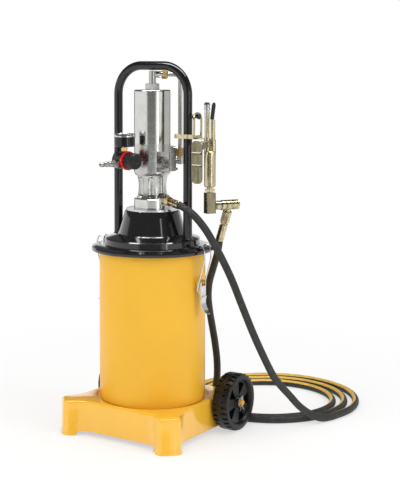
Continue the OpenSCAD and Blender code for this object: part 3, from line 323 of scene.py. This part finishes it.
def passivated_zinc(name, roughness, shade=1.0, green=0.0):
    """Yellow passivated zinc: gold that drifts to green and to pink in upright streaks."""
    zinc = Finish(name, (.5, .44, .26), Metallic=1.0, Roughness=roughness)
    drift = zinc.noise(95, 4, .6, zinc.place(stretch=(1, 1, .16)), lift=.4)
    tints = ((.26, .25 + green, .14), (.52, .47 + green, .27), (.72, .65, .43),
             (.62, .47 + green, .34), (.33, .30 + green, .22))
    stops = zip((.30, .43, .52, .60, .72), (scaled(tint, shade) for tint in tints))
    zinc.feed("Base Color", zinc.ramp(drift, *stops))
    zinc.feed("Roughness", zinc.span(zinc.noise(260, 4), roughness * .7, roughness * 1.4))
    zinc.bump(zinc.noise(520, 3), .00005)
    return zinc.material


def cast_metal(name, colour, roughness):
    """Die-cast aluminium, tumbled: a fine skin, small pits and soft shading."""
    metal = Finish(name, colour, Metallic=1.0, Roughness=roughness)
    metal.cloud(colour, metal.noise(45, 5), .84, 1.04)
    metal.feed("Roughness", metal.span(metal.noise(160, 5), roughness * .75, roughness * 1.35))
    metal.bump(metal.noise(620, 4, .65), .00004)
    pits = metal.math("LESS_THAN", metal.cells(420), .06)
    metal.bump(metal.math("SUBTRACT", 1.0, pits), .00006, .5)
    return metal.material


def rubber_hose(name, colour, stripe, share):
    """Wrapped rubber: the cloth's print in the cover, and a painted stripe along one side."""
    rubber = Finish(name, colour, Roughness=.55)
    uv = rubber.place(uv=True)
    split = rubber.node("ShaderNodeSeparateXYZ")
    rubber.join(uv, split.inputs[0])
    away = rubber.math("ABSOLUTE", rubber.math("SUBTRACT", split.outputs["X"], .5))
    ragged = rubber.math("MULTIPLY_ADD", rubber.noise(900, 3), .012, away)
    painted = rubber.span(ragged, 1.0, 0.0, share / 2, share / 2 + .012)
    worn = rubber.math("MULTIPLY", painted, rubber.span(rubber.noise(210, 5), .72, 1.0, .32, .5))
    dull = rubber.ramp(rubber.noise(70, 4), (.3, scaled(colour, .75)), (.7, scaled(colour, 1.5)))
    rubber.feed("Base Color", rubber.mix(worn, dull, tuple(stripe)))
    rubber.feed("Roughness", rubber.span(painted, .55, .42, 0, 1))
    weave = rubber.node("ShaderNodeTexWave", wave_type="BANDS", bands_direction="DIAGONAL")
    weave.inputs["Scale"].default_value = 60
    rubber.join(rubber.place(stretch=(.4, 5, 1), uv=True), weave.inputs["Vector"])
    rubber.bump(weave.outputs["Fac"], .00012)
    rubber.bump(rubber.noise(800, 3), .00012)
    return rubber.material


def clear_lens(name):
    """Moulded clear plastic, lightly scuffed."""
    lens = Finish(name, (.97, .98, .98), Roughness=.03, IOR=1.49, Transmission_Weight=1.0)
    lens.feed("Roughness", lens.span(lens.noise(300, 4), .01, .07))
    return lens.material


def dress(finish, *nodes):
    """The named solids take a finish, on merged copies that shade smoothly."""
    for name in nodes:
        source = frame["nodes"][name]
        mesh = source.data.copy()
        mesh.name = name + "_skin"
        mesh.materials.clear()
        mesh.materials.append(finish)
        piece = bpy.data.objects.new(name + "_skin", mesh)
        bpy.context.scene.collection.objects.link(piece)
        bpy.ops.object.select_all(action="DESELECT")
        piece.select_set(True)
        bpy.context.view_layer.objects.active = piece
        bpy.ops.mesh.customdata_custom_splitnormals_clear()
        bpy.ops.object.mode_set(mode="EDIT")
        bpy.ops.mesh.select_all(action="SELECT")
        bpy.ops.mesh.remove_doubles(threshold=MERGE_GAP)
        bpy.ops.object.mode_set(mode="OBJECT")
        bpy.ops.object.shade_smooth_by_angle(angle=SOLID_ANGLE)
        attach(piece, source["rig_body"])
        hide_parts(name)


def second_finish(node, finish, picked):
    """Another finish on the picked faces of a dressed solid."""
    mesh = bpy.data.objects[node + "_skin"].data
    mesh.materials.append(finish)
    for face in mesh.polygons:
        if picked(face):
            face.material_index = len(mesh.materials) - 1


def smooth_line(points, step):
    """Points about a step apart on one smooth curve through the given ones."""
    line = [points[0]]
    for i in range(len(points) - 1):
        before = points[i - 1] if i else points[0] * 2 - points[1]
        after = points[i + 2] if i + 2 < len(points) else points[-1] * 2 - points[-2]
        a, b = points[i], points[i + 1]
        count = max(1, round((b - a).length / step))
        for k in range(1, count + 1):
            t = k / count
            line.append(.5 * ((2 * a) + (b - before) * t
                              + (2 * before - 5 * a + 4 * b - after) * t ** 2
                              + (3 * a - before - 3 * b + after) * t ** 3))
    return line


def hose_tube(name, line, sides, diameter, finish):
    """A round closed tube along a line; each ring begins opposite the stripe."""
    around = HOSE_FACES
    verts, faces, wraps = [], [], []
    for i, point in enumerate(line):
        ahead = (line[min(i + 1, len(line) - 1)] - line[max(i - 1, 0)]).normalized()
        across = ahead.cross(sides[i]).normalized()
        up = across.cross(ahead)
        for k in range(around):
            turn = 2 * math.pi * k / around
            verts.append(point - (up * math.cos(turn) + across * math.sin(turn)) * diameter / 2)
    for i in range(len(line) - 1):
        for k in range(around):
            low, high = i * around, (i + 1) * around
            nxt = (k + 1) % around
            faces.append((low + k, low + nxt, high + nxt, high + k))
            u0, u1 = k / around, (k + 1) / around
            wraps.append(((u0, i), (u1, i), (u1, i + 1), (u0, i + 1)))
    far_ring = (len(line) - 1) * around
    faces += [tuple(reversed(range(around))), tuple(range(far_ring, far_ring + around))]
    wraps += [((0, 0),) * around, ((0, 0),) * around]
    mesh = bpy.data.meshes.new(name)
    mesh.from_pydata(verts, [], faces)
    wrap = mesh.uv_layers.new(name="wrap").data
    for polygon, corners in zip(mesh.polygons, wraps):
        polygon.use_smooth = len(corners) == 4
        for loop, (u, v) in zip(polygon.loop_indices, corners):
            wrap[loop].uv = (u, v * HOSE_STEP)
    mesh.materials.append(finish)
    piece = bpy.data.objects.new(name, mesh)
    bpy.context.scene.collection.objects.link(piece)
    return piece


class GREASEPUMP_OT_hoses(bpy.types.Operator):
    """Lay the grease hose from the outlet, in loops on the floor, and up to the gun"""
    bl_idname = "grease_pump.hoses"
    bl_label = "Lay hoses"

    def execute(self, context):
        sizes, colours = context.scene.grease_pump_sizes, context.scene.grease_pump_colours
        middle = AXIS + LOOP_MIDDLE
        loops = []
        for k in range(int(sizes.loop_turns * LOOP_POINTS) + 1):
            n = k / LOOP_POINTS
            turn = math.radians(360 * n + LOOP_START)
            radius = sizes.loop_radius - sizes.loop_shrink * n
            x, y = radius * math.cos(turn), radius * math.sin(turn)
            loops.append(middle + Vector((x, y - LOOP_DRIFT * n, 0)))
        supply = [AXIS + Vector(point) for point in SUPPLY_ROUTE]
        tail = [AXIS + Vector(point) for point in TAIL_ROUTE]
        line = smooth_line(supply + loops + tail, HOSE_STEP)

        def nearest(point):
            return min(range(len(line)), key=lambda i: (line[i] - point).length)

        first, last = nearest(loops[0]), nearest(loops[-1])
        sides = [None] * len(line)
        # On the floor the stripe lies on top at the back, and leans inwards at the front.
        for i in range(first, last + 1):
            inward = (middle - line[i]).normalized()
            lift = 1.2 - 1.1 * inward.y
            sides[i] = (inward + Vector((0, 0, max(lift, .1)))).normalized()
        # On both rises it follows the hose without a twist.
        for i in range(first - 1, -1, -1):
            ahead = (line[i + 1] - line[i]).normalized()
            sides[i] = (sides[i + 1] - ahead * sides[i + 1].dot(ahead)).normalized()
        for i in range(last + 1, len(line)):
            ahead = (line[i] - line[i - 1]).normalized()
            sides[i] = (sides[i - 1] - ahead * sides[i - 1].dot(ahead)).normalized()

        finish = rubber_hose("hose rubber", colours.hose, colours.stripe, sizes.stripe_share)
        runs = (("hose_run", line[:last + 1], sides[:last + 1]),
                ("hose_tail_run", line[last:], sides[last:]))
        pieces = [hose_tube(name, part, lean, sizes.hose_diameter, finish)
                  for name, part, lean in runs]
        run, rise = pieces
        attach(run, "machine")
        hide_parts("hose_supply", "hose_loops")
        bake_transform(rise)
        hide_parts("hose_tail")
        return {"FINISHED"}


class GREASEPUMP_OT_painted(bpy.types.Operator):
    """Paint the barrel, the lid and the handle, and give the base its plastic"""
    bl_idname = "grease_pump.painted"
    bl_label = "Paint and plastic"

    def execute(self, context):
        colours = context.scene.grease_pump_colours
        dress(gloss_paint("yellow enamel", colours.yellow, .34, .00004, 0),
              "barrel", "latch_plate_right", "latch_plate_left")
        dress(gloss_paint("yellow base gloss", scaled(colours.yellow, 1.06), .16, .00002, .8),
              "base")
        dress(gloss_paint("black lid enamel", colours.black, .12, .00002, .5),
              "lid", "latch_catches")
        dress(gloss_paint("black tube enamel", scaled(colours.black, .7), .14, .00002, .35),
              "handle", "gun_peg")
        dress(moulded_plastic("black wheel plastic", (.008, .008, .008), .36, .00002),
              "wheel_right", "wheel_left")
        dress(gloss_paint("black gauge enamel", scaled(colours.black, .5), .12, .00002, .3),
              "gauge_case", "gauge_needle")
        dress(moulded_plastic("black knob plastic", (.012, .012, .012), .46, .00003),
              "regulator_knob")
        dress(moulded_plastic("black regulator plastic", (.016, .016, .017), .34, .00003),
              "regulator_body")
        dress(moulded_plastic("red ring plastic", colours.red, .3, .00002), "regulator_ring")
        dress(moulded_plastic("black rubber", (.02, .02, .02), .55, .00004),
              "lid_gasket", "gun_sleeve")
        dress(moulded_plastic("white dial", (.85, .85, .83), .5, .00001), "gauge_dial")
        dress(clear_lens("clear lens"), "gauge_lens")
        return {"FINISHED"}


class GREASEPUMP_OT_metals(bpy.types.Operator):
    """Give the pump, the gun, the latches and the fittings their metals"""
    bl_idname = "grease_pump.metals"
    bl_label = "Metals"

    def execute(self, context):
        polished = turned_metal("polished aluminium", (.70, .695, .665), .17, AXIS, "Z")
        dress(polished, "air_cylinder")
        dress(turned_metal("turned flange", (.72, .72, .73), .2, AXIS, "Z"), "pump_flange")
        dress(cast_metal("cast aluminium", (.62, .615, .60), .24), "pump_body", "valve_cover")
        foot_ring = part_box("pump_body")[0].z + FOOT_RING_HEIGHT
        second_finish("pump_body", polished, lambda face: face.center.z < foot_ring)
        bright = plated_metal("bright zinc", (.74, .74, .74), .2)
        dress(bright, "latch_pin_right", "latch_lever_right", "latch_bail_right", "latch_pin_left",
              "latch_lever_left", "latch_bail_left", "dip_tube", "pump_piston", "follower_plate")
        nickel = plated_metal("nickel", (.60, .60, .57), .3)
        dress(nickel, "top_plug", "top_elbow", "air_tube", "lower_elbow", "cover_screws",
              "valve_plug", "inlet_nipple", "air_plug", "gun_lever_pin")
        zinc = passivated_zinc("yellow zinc", .22)
        dress(zinc, "supply_ferrule", "gun_grip", "gun_valve", "gun_bar", "gun_hanger",
              "gun_nozzle", "swivel_arm", "tail_ferrule")
        dress(passivated_zinc("green zinc", .25, .95, .05), "outlet_hex")
        # The swivel block and the lever take darker copies of the yellow zinc: painted shade that
        # stands in for the dark reflections on them. The lever's green tint is the zinc's own
        # colour.
        dress(passivated_zinc("olive zinc painted shade", .25, .45), "swivel_block")
        dress(passivated_zinc("green lever zinc painted shade", .25, .44, .05), "gun_lever")
        # Painted highlight: the lever's upward-facing ridge faces take a pale colour that stands in
        # for the bright sky they reflect.
        second_finish("gun_lever", moulded_plastic("ridge painted highlight", (.8, .78, .66), .4, .00001),
                      lambda face: face.normal.z > .3)
        coupler = (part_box("gun_nozzle")[0].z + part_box("gun_nozzle")[1].z * 2) / 3
        second_finish("gun_nozzle", plated_metal("chrome", (.7, .7, .7), .12),
                      lambda face: face.center.z > coupler)
        brass = turned_metal("brass", (.84, .60, .27), .34, AXIS, "Z")
        dress(brass, "tube_nuts", "gauge_stem")
        dress(gloss_paint("yellow axle paint", (.9, .42, .03), .3, .00002), "axle")
        dress(plated_metal("copper", (.84, .34, .12), .25), "outlet_seal")
        dress(moulded_plastic("black washer plastic", (.018, .018, .018), .4, .00002),
              "wheel_retainers")
        pin_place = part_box("wheel_retainers")[1].x - AXIS.x - SPLIT_PIN_WIDTH
        second_finish("wheel_retainers", nickel,
                      lambda face: abs(face.center.x - AXIS.x) > pin_place)
        return {"FINISHED"}


def settle(name, finish):
    """The active object becomes a finished piece of the machine, with its place in its mesh."""
    piece = bpy.context.active_object
    piece.name = piece.data.name = name
    bpy.ops.object.transform_apply(location=True, rotation=True, scale=True)
    piece.data.materials.clear()
    piece.data.materials.append(finish)
    bpy.ops.object.shade_smooth_by_angle(angle=PIECE_ANGLE)
    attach(piece, "machine")


class GREASEPUMP_OT_gauge(bpy.types.Operator):
    """Roll the gauge's rim, and print the scale on its dial"""
    bl_idname = "grease_pump.gauge"
    bl_label = "Gauge rim and scale"

    def execute(self, context):
        low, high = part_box("gauge_case")
        middle, radius = (low + high) / 2, (high.x - low.x) / 2
        self.rim(Vector((middle.x, middle.y, high.z)), radius)
        # The print lies on the dial's face, inside the case's wall.
        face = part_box("gauge_dial")[0].z + .00163
        self.scale_print(Vector((middle.x, middle.y, face)), radius - .0026)
        return {"FINISHED"}

    def rim(self, top, radius):
        lip, height = RIM_PROFILE[0]
        bpy.ops.object.select_all(action="DESELECT")
        bpy.ops.mesh.primitive_circle_add(vertices=72, radius=radius + lip,
                                          location=top + Vector((0, 0, height)))
        bpy.ops.object.mode_set(mode="EDIT")
        bpy.ops.mesh.select_all(action="SELECT")
        for (r0, z0), (r1, z1) in zip(RIM_PROFILE, RIM_PROFILE[1:]):
            bpy.ops.mesh.extrude_edges_move(TRANSFORM_OT_translate={"value": (0, 0, z1 - z0)})
            grow = (radius + r1) / (radius + r0)
            bpy.ops.transform.resize(value=(grow, grow, 1), center_override=top)
        bpy.ops.mesh.select_all(action="SELECT")
        bpy.ops.mesh.normals_make_consistent(inside=False)
        bpy.ops.object.mode_set(mode="OBJECT")
        wall = bpy.context.active_object.modifiers.new("wall", "SOLIDIFY")
        wall.thickness, wall.offset = RIM_WALL, -1
        bpy.ops.object.modifier_apply(modifier="wall")
        settle("gauge_rim", bpy.data.materials["bright zinc"])

    def scale_print(self, middle, radius):
        bpy.ops.object.select_all(action="DESELECT")
        bpy.ops.object.add(type="MESH", location=middle)
        print_piece = bpy.context.active_object
        bpy.ops.object.mode_set(mode="EDIT")
        for k in range(SCALE_STEPS + 1):
            turn = math.radians(SCALE_START - SCALE_SWEEP * k / SCALE_STEPS)
            length = .0034 if k % 10 == 0 else .0022 if k % 5 == 0 else .0014
            width = .0003 if k % 5 else .0006
            reach = radius - .0012 - length / 2
            place = middle + Vector((reach * math.cos(turn), reach * math.sin(turn), 0))
            bpy.ops.mesh.primitive_cube_add(size=1, location=place, rotation=(0, 0, turn),
                                            scale=(length, width, .00006))
        bpy.ops.object.mode_set(mode="OBJECT")
        numbers = []
        for k in range(6):
            turn = math.radians(SCALE_START - SCALE_SWEEP * k / 5)
            reach = radius - .0070
            place = middle + Vector((reach * math.cos(turn), reach * math.sin(turn), 0))
            bpy.ops.object.text_add(location=place)
            number = bpy.context.active_object
            number.data.body = str(2 * k)
            number.data.size, number.data.extrude = .0042, .00003
            number.data.align_x, number.data.align_y = "CENTER", "CENTER"
            bpy.ops.object.convert(target="MESH")
            numbers.append(bpy.context.active_object)
        for piece in (*numbers, print_piece):
            piece.select_set(True)
        bpy.context.view_layer.objects.active = print_piece
        bpy.ops.object.join()
        ink = moulded_plastic("dial ink", (.015, .015, .015), .5, .00001)
        settle("dial_print", ink)


class GREASEPUMP_OT_welds(bpy.types.Operator):
    """Run a weld bead round each foot of the handle"""
    bl_idname = "grease_pump.welds"
    bl_label = "Handle welds"

    def execute(self, context):
        low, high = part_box("handle")
        ripple = bpy.data.textures.new("weld ripple", "CLOUDS")
        ripple.noise_scale = .004
        for side, name in ((1, "weld_right"), (-1, "weld_left")):
            bpy.ops.object.select_all(action="DESELECT")
            bpy.ops.mesh.primitive_torus_add(
                major_radius=.0102, minor_radius=.0017, major_segments=48, minor_segments=12,
                location=AXIS + Vector((side * (high.x - AXIS.x - .00975), 0, low.z + .0026)),
                rotation=(0, side * math.radians(14.7), 0))
            bead = bpy.context.active_object.modifiers.new("ripple", "DISPLACE")
            bead.texture, bead.strength, bead.mid_level = ripple, .0009, .5
            bpy.ops.object.modifier_apply(modifier="ripple")
            settle(name, bpy.data.materials["black tube enamel"])
        return {"FINISHED"}


class GREASEPUMP_OT_studio(bpy.types.Operator):
    """Set the floor, the lamps, the white surround and the camera"""
    bl_idname = "grease_pump.studio"
    bl_label = "Studio"

    # The camera's heading from the front, its tilt, and its place round the barrel.
    HEADING, CAMERA_TILT = math.radians(34.48), math.radians(86.61)
    CAMERA_REACH, CAMERA_HEIGHT = 2.692, .819
    # Each lamp's name, place, target, side and power.
    LAMPS = (
        ("left", (-1.4, -2.7, 1.8), (0, 0, .4), 1.8, 31.5),
        ("right", (3.0, .1, 1.7), (0, 0, .4), 1.8, 32),
        ("top", (.1, -.1, 2.6), (.05, 0, .3), 1.4, 15),
    )
    # Each card's name, degrees from the camera's heading, reach, height, size and brightness.
    UPRIGHT_CARDS = (
        ("dark_card", -6, 4.2, 2.5, (4.2, 5), .2),
        ("grey_card", 104, 3.6, 2.5, (4.2, 5), .6),
        ("side_strip", 33, 3.4, 1.1, (.2, 2.2), 5),
    )

    def execute(self, context):
        scene = context.scene
        scene.view_settings.view_transform = "Standard"
        self.surround(scene)
        self.floor()
        for lamp in self.LAMPS:
            self.lamp(*lamp)
        for name, turn, reach, height, size, grey in self.UPRIGHT_CARDS:
            turn = self.HEADING + math.radians(turn)
            self.card(name, self.around(turn, reach, height), (math.pi / 2, 0, turn), size, grey)
        self.card("ceiling_card", (0, 0, 2.2), (0, 0, 0), (14, 14), .1)
        self.card("strip_card", (.1, -.1, 2.1), (0, 0, self.HEADING), (2.4, .32), 16)
        camera = bpy.data.cameras.new("camera")
        camera.sensor_fit, camera.sensor_width, camera.lens = "HORIZONTAL", 36, 110.85
        camera.shift_x, camera.shift_y = .11875, -.29875
        seat = bpy.data.objects.new("camera", camera)
        seat.location = self.around(self.HEADING, self.CAMERA_REACH, self.CAMERA_HEIGHT)
        seat.rotation_euler = (self.CAMERA_TILT, 0, self.HEADING)
        scene.collection.objects.link(seat)
        scene.camera = seat
        return {"FINISHED"}

    def around(self, turn, reach, height):
        """A place round the barrel, turned from the front towards the right."""
        return AXIS + Vector((reach * math.sin(turn), -reach * math.cos(turn), height))

    def surround(self, scene):
        world = bpy.data.worlds.new("surround")
        world.use_nodes = True
        tree = world.node_tree
        fill = tree.nodes["Background"]
        fill.inputs["Color"].default_value = (1, 1, 1, 1)
        fill.inputs["Strength"].default_value = .68
        white = tree.nodes.new("ShaderNodeBackground")
        white.inputs["Color"].default_value = (1, 1, 1, 1)
        pick = tree.nodes.new("ShaderNodeMixShader")
        tree.links.new(self.seen(tree), pick.inputs[0])
        tree.links.new(fill.outputs[0], pick.inputs[1])
        tree.links.new(white.outputs[0], pick.inputs[2])
        tree.links.new(pick.outputs[0], tree.nodes["World Output"].inputs["Surface"])
        scene.world = world

    def seen(self, tree):
        """One for rays from the camera, from gloss and through glass."""
        path = tree.nodes.new("ShaderNodeLightPath")
        total = path.outputs["Is Camera Ray"]
        for ray in ("Is Glossy Ray", "Is Transmission Ray"):
            add = tree.nodes.new("ShaderNodeMath")
            add.operation = "MAXIMUM"
            tree.links.new(total, add.inputs[0])
            tree.links.new(path.outputs[ray], add.inputs[1])
            total = add.outputs[0]
        return total

    def floor(self):
        bpy.ops.object.select_all(action="DESELECT")
        bpy.ops.mesh.primitive_plane_add(size=60)
        plane = bpy.context.active_object
        plane.name = "floor"
        pale = Finish("pale floor", (.93, .93, .93), Roughness=.9)
        spread = pale.node("ShaderNodeVectorMath", operation="LENGTH")
        pale.join(pale.place((.05, .1, 0)), spread.inputs[0])
        # White away from the machine, and close to it the shadow shows.
        far = pale.span(spread.outputs["Value"], .55, 1, .45, 1.1)
        glow = pale.node("ShaderNodeEmission")
        pick = pale.node("ShaderNodeMixShader")
        pale.join(pale.math("MULTIPLY", far, self.seen(pale.tree)), pick.inputs[0])
        pale.join(pale.shader.outputs[0], pick.inputs[1])
        pale.join(glow.outputs[0], pick.inputs[2])
        pale.join(pick.outputs[0], pale.tree.nodes["Material Output"].inputs["Surface"])
        plane.data.materials.append(pale.material)

    def card(self, name, place, turn, size, grey):
        """A studio card that only gloss sees."""
        bpy.ops.object.select_all(action="DESELECT")
        bpy.ops.mesh.primitive_plane_add(size=1)
        card = bpy.context.active_object
        card.name = name
        card.scale = (size[0], size[1], 1)
        card.location, card.rotation_euler = place, turn
        for ray in ("camera", "diffuse", "shadow", "transmission"):
            setattr(card, "visible_" + ray, False)
        board = Finish(name, (0, 0, 0), Roughness=1.0)
        shade = board.node("ShaderNodeEmission")
        shade.inputs["Strength"].default_value = grey
        board.join(shade.outputs[0], board.tree.nodes["Material Output"].inputs["Surface"])
        card.data.materials.append(board.material)

    def lamp(self, name, place, target, size, power):
        light = bpy.data.lights.new(name, "AREA")
        light.shape, light.size, light.energy = "SQUARE", size, power
        lamp = bpy.data.objects.new(name, light)
        lamp.visible_glossy = False
        lamp.location = place
        lamp.rotation_euler = (Vector(target) - Vector(place)).to_track_quat("-Z", "Y").to_euler()
        bpy.context.scene.collection.objects.link(lamp)


class GREASEPUMP_PT_sidebar(bpy.types.Panel):
    bl_label = "Grease pump"
    bl_idname = "GREASEPUMP_PT_sidebar"
    bl_space_type = "VIEW_3D"
    bl_region_type = "UI"
    bl_category = "Grease pump"

    def draw(self, context):
        for group in (context.scene.grease_pump_sizes, context.scene.grease_pump_colours):
            for name in group.bl_rna.properties.keys():
                if name not in ("rna_type", "name"):
                    self.layout.prop(group, name)
        for operator in OPERATORS:
            self.layout.operator(operator.bl_idname)


OPERATORS = (
    GREASEPUMP_OT_studio,
    GREASEPUMP_OT_hoses,
    GREASEPUMP_OT_painted,
    GREASEPUMP_OT_metals,
    GREASEPUMP_OT_gauge,
    GREASEPUMP_OT_welds,
)
CLASSES = (GreasePumpSizes, GreasePumpColours, *OPERATORS, GREASEPUMP_PT_sidebar)


def register():
    for cls in CLASSES:
        bpy.utils.register_class(cls)
    bpy.types.Scene.grease_pump_sizes = bpy.props.PointerProperty(type=GreasePumpSizes)
    bpy.types.Scene.grease_pump_colours = bpy.props.PointerProperty(type=GreasePumpColours)


def unregister():
    del bpy.types.Scene.grease_pump_colours
    del bpy.types.Scene.grease_pump_sizes
    for cls in reversed(CLASSES):
        bpy.utils.unregister_class(cls)


def main():
    register()
    bpy.ops.grease_pump.studio()
    bpy.ops.grease_pump.hoses()
    bpy.ops.grease_pump.painted()
    bpy.ops.grease_pump.metals()
    bpy.ops.grease_pump.gauge()
    bpy.ops.grease_pump.welds()


if __name__ == "__main__":
    main()
